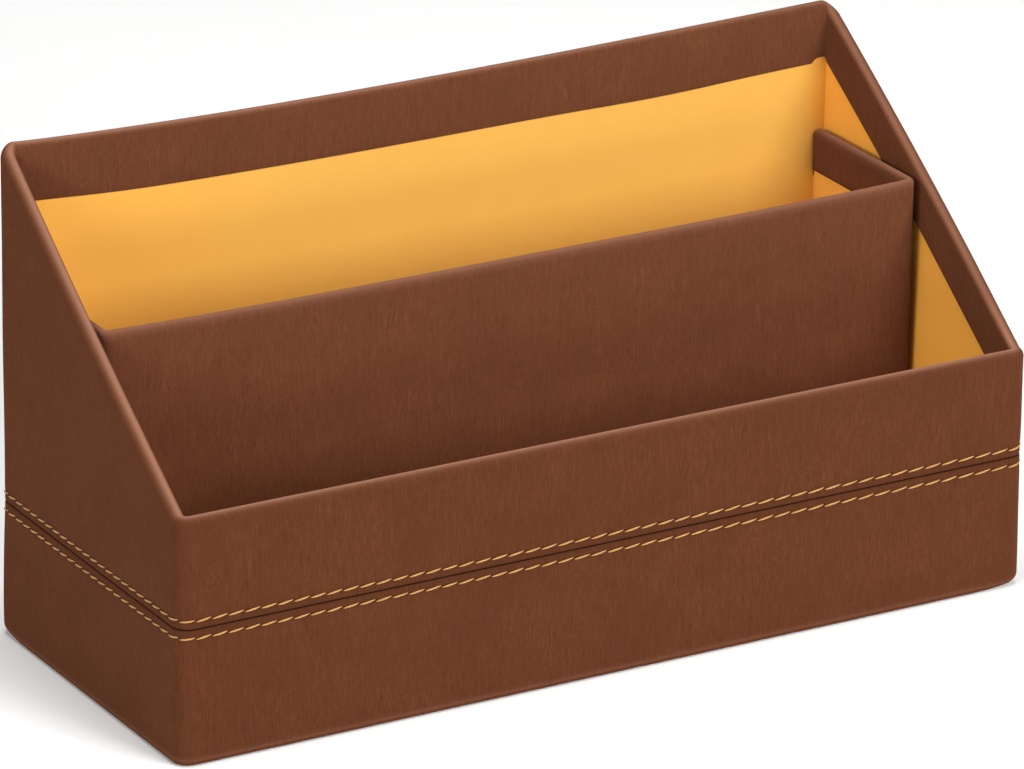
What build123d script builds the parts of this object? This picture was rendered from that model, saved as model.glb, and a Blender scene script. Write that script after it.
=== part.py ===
from build123d import *
import math
import os

os.makedirs("parts", exist_ok=True)

# Overall sizes in millimetres, with the origin under the middle of the box
width = 240.0
depth = 97.0
front_height = 63.5
back_height = 128.0
inner_corner_radius = 0.5

# Distance from the back face to the folds where the sloping rims meet the high wall
back_fold_inset = 0.8

# Sheet materials
board = 2.5
insert_board = 1.5
leather = 0.5
lining = 0.2
base_sheet_thickness = 0.3

# Rolled rims: the flat left on top between their rounded edges, and the rounding of the boards
rim_flat = 0.4
insert_rim_flat = 0.3
board_edge_radius = 0.6
foot_radius = 0.8

# Leather turned over the rims and under the base, and the paper held under it
side_turn_in = 13.8
back_turn_in = 16.0
insert_turn_in = 11.3
under_turn = 15.0
lining_below_rim = 2.0

# Seam between the two covers, with its backing tape
seam_height = 35.4
seam_gap = 0.4
backing_height = 12.0
backing_thickness = 0.2

# Stitching along the seam
long_wall_pitch = 4.78
short_wall_pitch = 4.05
corner_stitches = 2
stitch_share = 0.78
stitch_thread = 0.65
stitch_rise = 0.3
stitch_tilt = 7.5
stitch_row_offset = 2.2

# Insert that makes the divider and its two wings
divider_height = 94.3
divider_centre = 0.3
insert_inner_radius = 0.3
insert_side_gap = 0.3
insert_back_gap = 0.3
wing_end_radius = 3.0

# Base sheet and glue pads
base_sheet_inset = 2.5
base_sheet_radius = 3.0
base_sheet_clearance = 0.2
pad_length = 24.0
pad_height = 8.0
pad_margin = 15.0
pad_spacing = 40.0

# Cross-sections that each rolled corner of the rim is drawn through
corner_sections = 6

# Levels, from the surface that the box stands on
under_level = base_sheet_thickness
board_level = under_level + leather
base_top = board_level + board
floor_level = base_top + lining

# Depths of the wall layers, measured in from the outer face
board_back = leather + board
lining_face = board_back + lining
wall = lining_face + leather
corner_radius = inner_corner_radius + wall
straight_x = width / 2 - corner_radius
straight_y = depth / 2 - corner_radius

# Slope of the side rims, from the end of the level front corners, and their rise within each back corner
slope = (back_height - front_height) / (depth - corner_radius - back_fold_inset)
corner_rise = slope * (corner_radius - back_fold_inset)

# Layers of the insert, measured in from its outer face
insert_board_back = leather + insert_board
insert_lining_face = insert_board_back + lining
insert_wall = insert_lining_face + leather
insert_corner_radius = insert_inner_radius + insert_wall

# Place of the insert in the box
insert_half_width = width / 2 - wall - insert_side_gap
insert_front = divider_centre - insert_wall / 2
insert_back = depth / 2 - lining_face - insert_back_gap


def side_rim(y):
    """Height of the sloping rim of a side wall at a place along the depth."""
    return front_height + slope * (y + straight_y)


def corner_share(turn):
    """Share of a back corner's rise at a turn from 0, back wall, to 1, side wall.

    The curve starts level and ends at the slope of the side rim.
    """
    end_slope = (corner_radius - wall / 2) * math.pi / 2 / (corner_radius - back_fold_inset)
    return (3 - end_slope) * turn**2 + (end_slope - 2) * turn**3


def station(side, end, turn):
    """Upright plane, rim height and turn-in depth at one place round a corner.

    side is -1 for left and 1 for right, end is -1 for front and 1 for back.
    """
    radial = Vector(side * math.sin(turn * math.pi / 2), end * math.cos(turn * math.pi / 2), 0)
    plane = Plane(
        origin=(side * straight_x, end * straight_y, 0),
        x_dir=radial,
        z_dir=radial.cross(Vector(0, 0, 1)),
    )
    if end < 0:
        return plane, front_height, side_turn_in
    turn_in = back_turn_in + (side_turn_in - back_turn_in) * turn
    return plane, back_height - corner_rise * corner_share(turn), turn_in


def rim_runs():
    """Stations round the box: four rounded corners and the four straight walls between them."""
    turns = [step / corner_sections for step in range(corner_sections + 1)]
    corners = [(-1, -1), (1, -1), (1, 1), (-1, 1)]
    runs = [[station(side, end, turn) for turn in turns] for side, end in corners]
    runs += [[station(-1, end, 0), station(1, end, 0)] for end in (-1, 1)]
    runs += [[station(side, -1, 1), station(side, 1, 1)] for side in (-1, 1)]
    return runs


def plan_outline(inset, mode=Mode.ADD):
    """Rounded outline of the box at a depth from its outer face."""
    RectangleRounded(width - 2 * inset, depth - 2 * inset, corner_radius - inset, mode=mode)


def plan_ring(outer_inset, inner_inset):
    """Plan of a layer of the wall between two depths from the outer face."""
    plan_outline(outer_inset)
    plan_outline(inner_inset, mode=Mode.SUBTRACT)


def insert_outline(inset, mode=Mode.ADD):
    """Outline of the insert at a depth from its outer face, square at the back."""
    half = insert_half_width - inset
    front = insert_front + inset
    back = insert_back - inset
    middle = (front + back) / 2
    with Locations((0, middle)):
        RectangleRounded(2 * half, back - front, insert_corner_radius - inset, mode=mode)
    with Locations((0, (middle + back) / 2)):
        Rectangle(2 * half, back - middle, mode=mode)


def insert_plan(outer_inset, inner_inset):
    """U-shaped plan of a layer of the insert, open at the back of the box."""
    with BuildSketch(Plane.XY.offset(floor_level)) as plan:
        insert_outline(outer_inset)
        insert_outline(inner_inset, mode=Mode.SUBTRACT)
        with Locations((0, insert_back - outer_inset)):
            Rectangle(2 * (insert_half_width - inner_inset), 2 * insert_wall, mode=Mode.SUBTRACT)
    return plan.sketch


def stitched_walls(height):
    """Plane, straight length and nominal stitch pitch of each wall at a height."""
    walls = []
    for way in (-1, 1):
        end_plane = Plane((0, way * depth / 2, height), x_dir=(-way, 0, 0), z_dir=(0, way, 0))
        side_plane = Plane((way * width / 2, 0, height), x_dir=(0, way, 0), z_dir=(way, 0, 0))
        walls.append((end_plane, 2 * straight_x, long_wall_pitch))
        walls.append((side_plane, 2 * straight_y, short_wall_pitch))
    return walls


# Space inside the leather of the walls, which the boards and the paper fill
with BuildPart() as wall_core:
    for run in rim_runs():
        for plane, rim_height, turn_in in run:
            with BuildSketch(plane) as section:
                Polygon(
                    (corner_radius - leather, board_level),
                    (corner_radius - leather, rim_height - leather),
                    (corner_radius - lining_face, rim_height - leather),
                    (corner_radius - lining_face, board_level),
                    align=None,
                )
                fillet(section.vertices().group_by(Axis.Y)[-1], board_edge_radius)
        loft(ruled=len(run) == 2)

# Base board, held inside the feet of the four walls
with BuildPart() as base_board:
    with BuildSketch(Plane.XY.offset(board_level)):
        Rectangle(width - 2 * board_back, depth - 2 * board_back)
    extrude(amount=board)

base_board.part.label = "base_board"
export_step(base_board.part, "parts/base_board.step")

# Front and back boards, as wide as the box inside its leather
for end, name in ((-1, "front"), (1, "back")):
    with BuildPart() as end_board:
        with BuildSketch():
            with Locations((0, end * (depth / 2 - board_back / 2))):
                Rectangle(width, board_back)
        extrude(amount=back_height)
        add(wall_core.part, mode=Mode.INTERSECT)

    end_board.part.label = f"{name}_board"
    export_step(end_board.part, f"parts/{name}_board.step")

# Side boards, fitted between the front and back boards
for side, name in ((-1, "left"), (1, "right")):
    with BuildPart() as side_board:
        with BuildSketch():
            with Locations((side * (width / 2 - board_back / 2), 0)):
                Rectangle(board_back, depth - 2 * board_back)
        extrude(amount=back_height)
        add(wall_core.part, mode=Mode.INTERSECT)

    side_board.part.label = f"{name}_side_board"
    export_step(side_board.part, f"parts/{name}_side_board.step")

# Seam backing: a tape round the box behind the butted edges of the two covers
with BuildPart() as seam_backing:
    with BuildSketch(Plane.XY.offset(seam_height - backing_height / 2)):
        plan_ring(leather - backing_thickness, board_back)
    extrude(amount=backing_height)
    add(wall_core.part, mode=Mode.SUBTRACT)

seam_backing.part.label = "seam_backing"
export_step(seam_backing.part, "parts/seam_backing.step")

# Upper cover: one band of leather from the seam over the rims and down inside
with BuildPart() as upper_cover:
    core_middle = corner_radius - leather - board / 2
    for run in rim_runs():
        for plane, rim_height, turn_in in run:
            with BuildSketch(plane) as section:
                Polygon(
                    (corner_radius, seam_height + seam_gap / 2),
                    (corner_radius, rim_height),
                    (inner_corner_radius, rim_height),
                    (inner_corner_radius, rim_height - turn_in),
                    (core_middle, rim_height - turn_in),
                    (core_middle, seam_height + seam_gap / 2),
                    align=None,
                )
                fillet(section.vertices().group_by(Axis.Y)[-1], (wall - rim_flat) / 2)
        loft(ruled=len(run) == 2)
    add(wall_core.part, mode=Mode.SUBTRACT)
    with BuildSketch(Plane.XY.offset(seam_height)):
        plan_ring(leather - backing_thickness, board_back)
    extrude(amount=backing_height / 2, mode=Mode.SUBTRACT)

upper_cover.part.label = "upper_cover"
export_step(upper_cover.part, "parts/upper_cover.step")

# Lower cover: the band of leather below the seam, turned under the base
with BuildPart() as lower_cover:
    with BuildSketch(Plane.XY.offset(under_level)):
        plan_outline(0)
    extrude(amount=seam_height - seam_gap / 2 - under_level)
    fillet(lower_cover.edges().group_by(Axis.Z)[0], foot_radius)
    with BuildSketch(Plane.XY.offset(board_level)):
        plan_outline(leather)
    extrude(amount=seam_height, mode=Mode.SUBTRACT)
    add(wall_core.part, mode=Mode.SUBTRACT)
    with BuildSketch(Plane.XY.offset(under_level)):
        Rectangle(width - 2 * under_turn, depth - 2 * under_turn)
    extrude(amount=leather, mode=Mode.SUBTRACT)
    with BuildSketch(Plane.XY.offset(seam_height)):
        plan_ring(leather - backing_thickness, board_back)
    extrude(amount=-backing_height / 2, mode=Mode.SUBTRACT)

lower_cover.part.label = "lower_cover"
export_step(lower_cover.part, "parts/lower_cover.step")

# Base sheet under the turned edges, pressed up against the board inside them
with BuildPart() as base_sheet:
    with BuildSketch():
        RectangleRounded(width - 2 * base_sheet_inset, depth - 2 * base_sheet_inset, base_sheet_radius)
    extrude(amount=base_sheet_thickness)
    with BuildSketch(Plane.XY.offset(base_sheet_thickness)):
        margin = under_turn + base_sheet_clearance
        Rectangle(width - 2 * margin, depth - 2 * margin)
    extrude(amount=leather)

base_sheet.part.label = "base_sheet"
export_step(base_sheet.part, "parts/base_sheet.step")

# Paper on the floor of the box
with BuildPart() as floor_lining:
    with BuildSketch(Plane.XY.offset(base_top)):
        Rectangle(width - 2 * board_back, depth - 2 * board_back)
    extrude(amount=lining)

floor_lining.part.label = "floor_lining"
export_step(floor_lining.part, "parts/floor_lining.step")

# Paper on the front and back walls, its top edge held under the turned-in leather
for end, rim_height, name in ((-1, front_height, "front"), (1, back_height, "back")):
    with BuildPart() as wall_lining:
        with BuildSketch(Plane.XY.offset(floor_level)):
            with Locations((0, end * (depth / 2 - (board_back + lining_face) / 2))):
                Rectangle(width - 2 * board_back, lining)
        extrude(amount=rim_height - lining_below_rim - floor_level)

    wall_lining.part.label = f"{name}_lining"
    export_step(wall_lining.part, f"parts/{name}_lining.step")

# Paper on the side walls
for side, name in ((-1, "left"), (1, "right")):
    with BuildPart() as side_lining:
        with BuildSketch(Plane.YZ.offset(side * (width / 2 - board_back))):
            end = depth / 2 - lining_face
            Polygon(
                (-end, floor_level),
                (end, floor_level),
                (end, side_rim(end) - lining_below_rim),
                (-end, side_rim(-end) - lining_below_rim),
                align=None,
            )
        extrude(amount=-side * lining)

    side_lining.part.label = f"{name}_lining"
    export_step(side_lining.part, f"parts/{name}_lining.step")

# Space inside the leather of the insert, which its boards and paper fill
with BuildPart() as insert_core:
    extrude(insert_plan(leather, insert_lining_face), amount=divider_height - leather - floor_level)
    wing_ends = insert_core.edges().filter_by(Axis.X).group_by(Axis.Z)[-1].group_by(Axis.Y)[-1]
    fillet(wing_ends, wing_end_radius - leather)
    rim_edges = insert_core.faces().sort_by(Axis.Z)[-1].edges().sort_by(Axis.Y)[:-2]
    fillet(rim_edges, board_edge_radius)

# Divider board of the insert
with BuildPart() as divider_board:
    with BuildSketch(Plane.XY.offset(floor_level)):
        with Locations((0, insert_front + leather + insert_board / 2)):
            Rectangle(width, insert_board)
    extrude(amount=divider_height)
    add(insert_core.part, mode=Mode.INTERSECT)

divider_board.part.label = "divider_board"
export_step(divider_board.part, "parts/divider_board.step")

# Wing boards, which run back from the divider along the side walls
for side, name in ((-1, "left"), (1, "right")):
    with BuildPart() as wing_board:
        with BuildSketch(Plane.XY.offset(floor_level)):
            inner_face = insert_half_width - insert_board_back
            with Locations((side * (inner_face + board / 2), insert_front + insert_board_back)):
                Rectangle(board, depth / 2, align=(Align.CENTER, Align.MIN))
        extrude(amount=divider_height)
        add(insert_core.part, mode=Mode.INTERSECT)

    wing_board.part.label = f"{name}_wing_board"
    export_step(wing_board.part, f"parts/{name}_wing_board.step")

# Paper on the back of the divider
with BuildPart() as divider_lining:
    with BuildSketch(Plane.XY.offset(floor_level)):
        with Locations((0, insert_front + insert_board_back + lining / 2)):
            Rectangle(2 * (insert_half_width - insert_board_back), lining)
    extrude(amount=divider_height - lining_below_rim - floor_level)

divider_lining.part.label = "divider_lining"
export_step(divider_lining.part, "parts/divider_lining.step")

# Paper on the inner faces of the wings, cut to follow their rounded ends
for side, name in ((-1, "left"), (1, "right")):
    with BuildPart() as wing_lining:
        with BuildSketch(Plane.XY.offset(floor_level)):
            middle = insert_half_width - (insert_board_back + insert_lining_face) / 2
            with Locations((side * middle, insert_front + insert_lining_face)):
                Rectangle(lining, depth / 2, align=(Align.CENTER, Align.MIN))
        extrude(amount=divider_height - lining_below_rim - floor_level)
        add(insert_core.part, mode=Mode.INTERSECT)

    wing_lining.part.label = f"{name}_wing_lining"
    export_step(wing_lining.part, f"parts/{name}_wing_lining.step")

# Insert cover: leather over the front of the divider, round the wings and over their rims
with BuildPart() as insert_cover:
    extrude(insert_plan(0, insert_wall), amount=divider_height - floor_level)
    wing_ends = insert_cover.edges().filter_by(Axis.X).group_by(Axis.Z)[-1].group_by(Axis.Y)[-1]
    fillet(wing_ends, wing_end_radius)
    rim_edges = insert_cover.faces().sort_by(Axis.Z)[-1].edges().sort_by(Axis.Y)[:-2]
    fillet(rim_edges, (insert_wall - insert_rim_flat) / 2)
    add(insert_core.part, mode=Mode.SUBTRACT)
    with BuildSketch(Plane.XY.offset(floor_level)):
        insert_outline(insert_lining_face)
        with Locations((0, insert_back - leather)):
            bare_width = 2 * (insert_half_width - insert_lining_face)
            Rectangle(bare_width, depth / 4, align=(Align.CENTER, Align.MAX))
    extrude(amount=divider_height - insert_turn_in - floor_level, mode=Mode.SUBTRACT)

insert_cover.part.label = "insert_cover"
export_step(insert_cover.part, "parts/insert_cover.step")

# Glue pads between the wings and the paper of the side walls
with BuildPart() as wing_glue_pads:
    wing_middle = (insert_front + insert_back) / 2
    first_level = floor_level + pad_margin
    for side in (-1, 1):
        with BuildSketch(Plane.YZ.offset(side * insert_half_width)):
            with Locations((wing_middle, first_level), (wing_middle, first_level + pad_spacing)):
                Rectangle(pad_length, pad_height)
        extrude(amount=side * (width / 2 - lining_face - insert_half_width))

wing_glue_pads.part.label = "wing_glue_pads"
export_step(wing_glue_pads.part, "parts/wing_glue_pads.step")

# Two rows of stitches: tilted on the walls, curved round the corners of the box
for row, name in ((1, "upper"), (-1, "lower")):
    row_height = seam_height + row * stitch_row_offset
    with BuildPart() as stitches:
        for wall_plane, straight_length, nominal_pitch in stitched_walls(row_height):
            count = round(straight_length / nominal_pitch)
            pitch = straight_length / count
            with BuildSketch(wall_plane):
                with GridLocations(pitch, 0, count, 1):
                    SlotOverall(stitch_share * pitch, stitch_thread, rotation=stitch_tilt)
            extrude(amount=stitch_rise)
        step = 90 / corner_stitches
        sweep_angle = step * stitch_share
        for number in range(4 * corner_stitches):
            start = number * step + (step - sweep_angle) / 2
            side = math.copysign(1, math.cos(math.radians(start)))
            end = math.copysign(1, math.sin(math.radians(start)))
            centre = (side * straight_x, end * straight_y)
            with BuildSketch(Plane.XY.offset(row_height - stitch_thread / 2)):
                with BuildLine():
                    near = CenterArc(centre, corner_radius, start, sweep_angle)
                    far = CenterArc(centre, corner_radius + stitch_rise, start, sweep_angle)
                    Line(near @ 0, far @ 0)
                    Line(near @ 1, far @ 1)
                make_face()
            extrude(amount=stitch_thread)

    stitches.part.label = f"{name}_stitches"
    export_step(stitches.part, f"parts/{name}_stitches.step")
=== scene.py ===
"""A leatherette letter holder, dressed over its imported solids.

Shapes are worked out in millimetres and become meshes in metres, in the frame of the solids: the origin is under
the middle of the box, +X is to the right, +Y is to the high back wall and +Z is up.
"""

import logging
import math
from dataclasses import dataclass, field
from enum import Enum

import bmesh
import bpy
import numpy as np
from mathutils import Matrix, Vector


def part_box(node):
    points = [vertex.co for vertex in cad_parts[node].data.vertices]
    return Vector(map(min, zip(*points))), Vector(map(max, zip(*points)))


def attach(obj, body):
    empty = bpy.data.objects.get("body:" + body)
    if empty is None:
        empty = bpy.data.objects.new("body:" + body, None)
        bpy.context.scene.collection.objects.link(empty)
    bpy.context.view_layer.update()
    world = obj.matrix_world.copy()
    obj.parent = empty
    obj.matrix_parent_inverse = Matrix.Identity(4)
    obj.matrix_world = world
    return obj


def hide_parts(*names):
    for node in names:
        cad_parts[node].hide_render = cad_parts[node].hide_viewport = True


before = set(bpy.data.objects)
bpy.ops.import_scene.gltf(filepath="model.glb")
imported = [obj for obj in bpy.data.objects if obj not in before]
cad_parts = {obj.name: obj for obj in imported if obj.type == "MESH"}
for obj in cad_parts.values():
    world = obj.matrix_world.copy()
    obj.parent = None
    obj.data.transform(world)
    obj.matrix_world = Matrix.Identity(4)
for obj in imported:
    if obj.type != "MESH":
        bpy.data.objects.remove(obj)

log = logging.getLogger("letter_holder")

MM = 0.001
IMAGE_WIDTH = 1024
IMAGE_HEIGHT = 769

# Heights over the seam's edge, in millimetres, at which the leather is given points: close by the seam and its stitches.
SEAM_STEPS = np.array([0.0, 0.1, 0.25, 0.45, 0.7, 1.0, 1.3, 1.6, 1.9, 2.2, 2.5, 2.8, 3.1, 3.5, 4.0, 4.6, 5.4, 6.4])


def linear(hex_colour: str) -> tuple[float, float, float, float]:
    """Turn an sRGB hex colour into the linear colour that a shader takes.

    Args:
        hex_colour: Six hex digits after a hash sign.

    Returns:
        Linear red, green and blue, with an alpha of 1.
    """
    parts = [int(hex_colour[start : start + 2], 16) / 255 for start in (1, 3, 5)]
    red, green, blue = (p / 12.92 if p <= 0.04045 else ((p + 0.055) / 1.055) ** 2.4 for p in parts)
    return red, green, blue, 1.0


def add_node(tree: bpy.types.NodeTree, kind: str, inputs: dict | None = None, **settings: object) -> bpy.types.Node:
    """Add one node with its settings, and link or set its inputs.

    Args:
        tree: The node tree that takes the node.
        kind: Blender's name for the kind of node.
        inputs: Input name or number to a socket to link, or to a value to set.
        settings: The node's own settings.

    Returns:
        The new node.
    """
    node = tree.nodes.new(kind)
    for name, value in settings.items():
        setattr(node, name, value)
    for name, value in (inputs or {}).items():
        if isinstance(value, bpy.types.NodeSocket):
            tree.links.new(value, node.inputs[name])
        else:
            node.inputs[name].default_value = value
    return node


def ramp(tree: bpy.types.NodeTree, value: bpy.types.NodeSocket, low: float, high: float) -> bpy.types.NodeSocket:
    """Stretch the part of a value between two limits to the range 0 to 1.

    Args:
        tree: The node tree.
        value: The socket that gives the value.
        low: The value that becomes 0.
        high: The value that becomes 1.

    Returns:
        The socket of the stretched value.
    """
    node = add_node(tree, "ShaderNodeMapRange", {"Value": value, "From Min": low, "From Max": high})
    return node.outputs["Result"]


def tint(
    tree: bpy.types.NodeTree,
    share: bpy.types.NodeSocket,
    base: bpy.types.NodeSocket | tuple,
    other: bpy.types.NodeSocket | tuple,
    blend: str = "MIX",
) -> bpy.types.NodeSocket:
    """Mix two colours.

    Args:
        tree: The node tree.
        share: How much of the other colour shows.
        base: The colour at a share of 0.
        other: The colour at a share of 1.
        blend: Blender's name for the way of mixing.

    Returns:
        The socket of the mixed colour.
    """
    node = add_node(tree, "ShaderNodeMix", {0: share, 6: base, 7: other}, data_type="RGBA", blend_type=blend)
    return node.outputs[2]


def scaled(
    tree: bpy.types.NodeTree, vector: bpy.types.NodeSocket, sizes: tuple[float, float, float]
) -> bpy.types.NodeSocket:
    """Scale a place in metres so that one unit is a real size in millimetres along each axis.

    Args:
        tree: The node tree.
        vector: The place in metres.
        sizes: The size of one unit along X, Y and Z, in millimetres.

    Returns:
        The socket of the scaled place.
    """
    factors = tuple(1 / (size * MM) for size in sizes)
    node = add_node(tree, "ShaderNodeVectorMath", {0: vector, 1: factors}, operation="MULTIPLY")
    return node.outputs["Vector"]


def noise(
    tree: bpy.types.NodeTree, vector: bpy.types.NodeSocket, detail: float = 2.0, rough: float = 0.5
) -> bpy.types.NodeSocket:
    """Noise with one cell to each unit of the vector.

    Args:
        tree: The node tree.
        vector: The scaled place.
        detail: How many finer layers are added.
        rough: How strong the finer layers are.

    Returns:
        The socket of the noise, about 0.5 on average.
    """
    inputs = {"Vector": vector, "Scale": 1.0, "Detail": detail, "Roughness": rough}
    return add_node(tree, "ShaderNodeTexNoise", inputs, noise_dimensions="3D").outputs[0]


def new_material(name: str) -> tuple[bpy.types.Material, bpy.types.NodeTree, bpy.types.Node]:
    """Make a material that holds only its shader and output.

    Args:
        name: The material's name.

    Returns:
        The material, its node tree and its Principled shader.
    """
    material = bpy.data.materials.new(name)
    material.use_nodes = True
    tree = material.node_tree
    tree.nodes.clear()
    shader = add_node(tree, "ShaderNodeBsdfPrincipled")
    add_node(tree, "ShaderNodeOutputMaterial", {"Surface": shader.outputs[0]})
    return material, tree, shader


@dataclass(frozen=True)
class Leatherette:
    """Polyurethane leatherette with a soft-touch finish, brushed so that short upright strokes show in it.

    The strokes are fine and faint, and give way to plain specks in patches, with broader clouds under both. The
    leather over each rim and fold is paler, partly rubbed wear and partly a painted highlight, and the leather beside
    the seam and its needle holes is darker, as painted shade. Leather inside the box is painted lighter and cooler, as
    painted light, and the golden light off the paper warms it again.
    """

    name: str = "leatherette_brushed_brown"
    base: str = "#59321E"
    dark: str = "#4E2B1A"
    light: str = "#623A24"
    # Paler colour over rims and folds: partly rubbed wear, partly a painted highlight.
    rubbed_and_highlight: str = "#8E6450"
    # Painted shade beside the seam, in the needle holes and along turned-in edges.
    painted_shade_colour: str = "#33190B"
    stroke_width: float = 0.34
    stroke_length: float = 2.6
    streak_width: float = 1.1
    streak_length: float = 9.0
    speck: float = 0.42
    patch: float = 5.0
    cloud: float = 14.0
    grain: float = 0.16
    roughness: float = 0.75
    gloss: float = 0.03
    # Painted light: inside the box the leather is made lighter and cooler by these factors.
    inside_light_gain: tuple[float, float, float, float] = (1.3, 1.38, 1.5, 1.0)

    def material(self) -> bpy.types.Material:
        """Return the finished material."""
        material, tree, shader = new_material(self.name)
        rest = add_node(tree, "ShaderNodeAttribute", attribute_name="rest").outputs["Vector"]
        # Share of rubbed wear and painted highlight.
        wear_and_highlight = add_node(tree, "ShaderNodeAttribute", attribute_name="wear_and_highlight").outputs["Fac"]
        # Share of painted shade.
        painted_shade = add_node(tree, "ShaderNodeAttribute", attribute_name="painted_shade").outputs["Fac"]
        # Share of painted light inside the box.
        inner = add_node(tree, "ShaderNodeAttribute", attribute_name="inner").outputs["Fac"]
        stroke_size = (self.stroke_width, self.stroke_width, self.stroke_length)
        fine = noise(tree, scaled(tree, rest, stroke_size), 2.0, 0.55)
        streak_size = (self.streak_width, self.streak_width, self.streak_length)
        streaks = noise(tree, scaled(tree, rest, streak_size), 1.0, 0.5)
        brushed = add_node(tree, "ShaderNodeMix", {0: 0.25, 2: fine, 3: streaks}, data_type="FLOAT").outputs[0]
        specks = noise(tree, scaled(tree, rest, (self.speck, self.speck, 1.5 * self.speck)), 1.0, 0.5)
        patches = ramp(tree, noise(tree, scaled(tree, rest, (self.patch, self.patch, 1.6 * self.patch))), 0.1, 0.6)
        strokes = add_node(tree, "ShaderNodeMix", {0: patches, 2: specks, 3: brushed}, data_type="FLOAT").outputs[0]
        clouds = noise(tree, scaled(tree, rest, (self.cloud, self.cloud, self.cloud)), 3.0, 0.5)
        grain = noise(tree, scaled(tree, rest, (self.grain,) * 3), 1.0, 0.5)
        dark_strokes = tint(tree, ramp(tree, strokes, 0.49, 0.30), linear(self.base), linear(self.dark))
        all_strokes = tint(tree, ramp(tree, strokes, 0.51, 0.70), dark_strokes, linear(self.light))
        clouded = tint(tree, ramp(tree, clouds, 0.30, 1.30), all_strokes, linear(self.dark))
        # Painted light inside the box: lighter, cooler leather.
        lit_inside = tint(tree, inner, clouded, self.inside_light_gain, "MULTIPLY")
        # Rubbed wear and a painted highlight over rims and folds.
        worn_and_lit_colour = tint(tree, wear_and_highlight, lit_inside, linear(self.rubbed_and_highlight))
        # Painted shade by the seam, the needle holes and turned-in edges.
        colour = tint(tree, painted_shade, worn_and_lit_colour, linear(self.painted_shade_colour))
        mixed = add_node(tree, "ShaderNodeMix", {0: 0.4, 2: strokes, 3: grain}, data_type="FLOAT").outputs[0]
        bump = add_node(tree, "ShaderNodeBump", {"Height": mixed, "Strength": 0.35, "Distance": 0.1 * MM})
        tree.links.new(colour, shader.inputs["Base Color"])
        tree.links.new(bump.outputs[0], shader.inputs["Normal"])
        shader.inputs["Roughness"].default_value = self.roughness
        shader.inputs["IOR"].default_value = 1.46
        shader.inputs["Specular IOR Level"].default_value = self.gloss
        shader.inputs["Diffuse Roughness"].default_value = 0.5
        return material


@dataclass(frozen=True)
class Paper:
    """Uncoated dyed paper: a matt, even sheet with cloudy fibres and a faint laid texture.

    It is painted a deeper orange on and close by the side walls, as painted light that goes from sheet to sheet, and
    more faintly over the left of the box, as painted shade of the left wall warmed by light off the paper.
    """

    name: str = "lining_paper_golden"
    base: str = "#DCA545"
    cloud: str = "#DAA243"
    # Painted bounce light by the side walls, and painted shade over the left of the box.
    bounce_orange: str = "#EEA83D"
    bounce_from: float = 107.0
    bounce_full: float = 116.5
    left_shade_from: float = 40.0
    left_shade_full: float = 105.0
    left_shade_share: float = 0.6
    cloud_size: float = 9.0
    fibre_width: float = 0.35
    fibre_length: float = 2.2
    roughness: float = 0.85

    def material(self) -> bpy.types.Material:
        """Return the finished material."""
        material, tree, shader = new_material(self.name)
        place = add_node(tree, "ShaderNodeTexCoord").outputs["Object"]
        clouds = noise(tree, scaled(tree, place, (self.cloud_size,) * 3), 4.0, 0.55)
        fibre_size = (self.fibre_width, self.fibre_width, self.fibre_length)
        fibres = noise(tree, scaled(tree, place, fibre_size), 2.0, 0.6)
        mixed = add_node(tree, "ShaderNodeMix", {0: 0.35, 2: clouds, 3: fibres}, data_type="FLOAT").outputs[0]
        sheet = tint(tree, ramp(tree, mixed, 0.35, 0.65), linear(self.cloud), linear(self.base))
        across = add_node(tree, "ShaderNodeSeparateXYZ", {0: place}).outputs[0]
        aside = add_node(tree, "ShaderNodeMath", {0: across}, operation="ABSOLUTE").outputs[0]
        # Painted bounce light by the side walls.
        near = ramp(tree, aside, self.bounce_from * MM, self.bounce_full * MM)
        near = add_node(tree, "ShaderNodeMath", {0: near, 1: 1.6}, operation="POWER").outputs[0]
        # Painted shade over the left of the box.
        leftward = ramp(tree, across, -self.left_shade_from * MM, -self.left_shade_full * MM)
        left_shade = add_node(tree, "ShaderNodeMath", {0: leftward, 1: self.left_shade_share}, operation="MULTIPLY")
        share = add_node(tree, "ShaderNodeMath", {0: near, 1: left_shade.outputs[0]}, operation="MAXIMUM").outputs[0]
        colour = tint(tree, share, sheet, linear(self.bounce_orange))
        bump = add_node(tree, "ShaderNodeBump", {"Height": fibres, "Strength": 0.1, "Distance": 0.04 * MM})
        tree.links.new(colour, shader.inputs["Base Color"])
        tree.links.new(bump.outputs[0], shader.inputs["Normal"])
        shader.inputs["Roughness"].default_value = self.roughness
        shader.inputs["IOR"].default_value = 1.5
        return material


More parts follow.
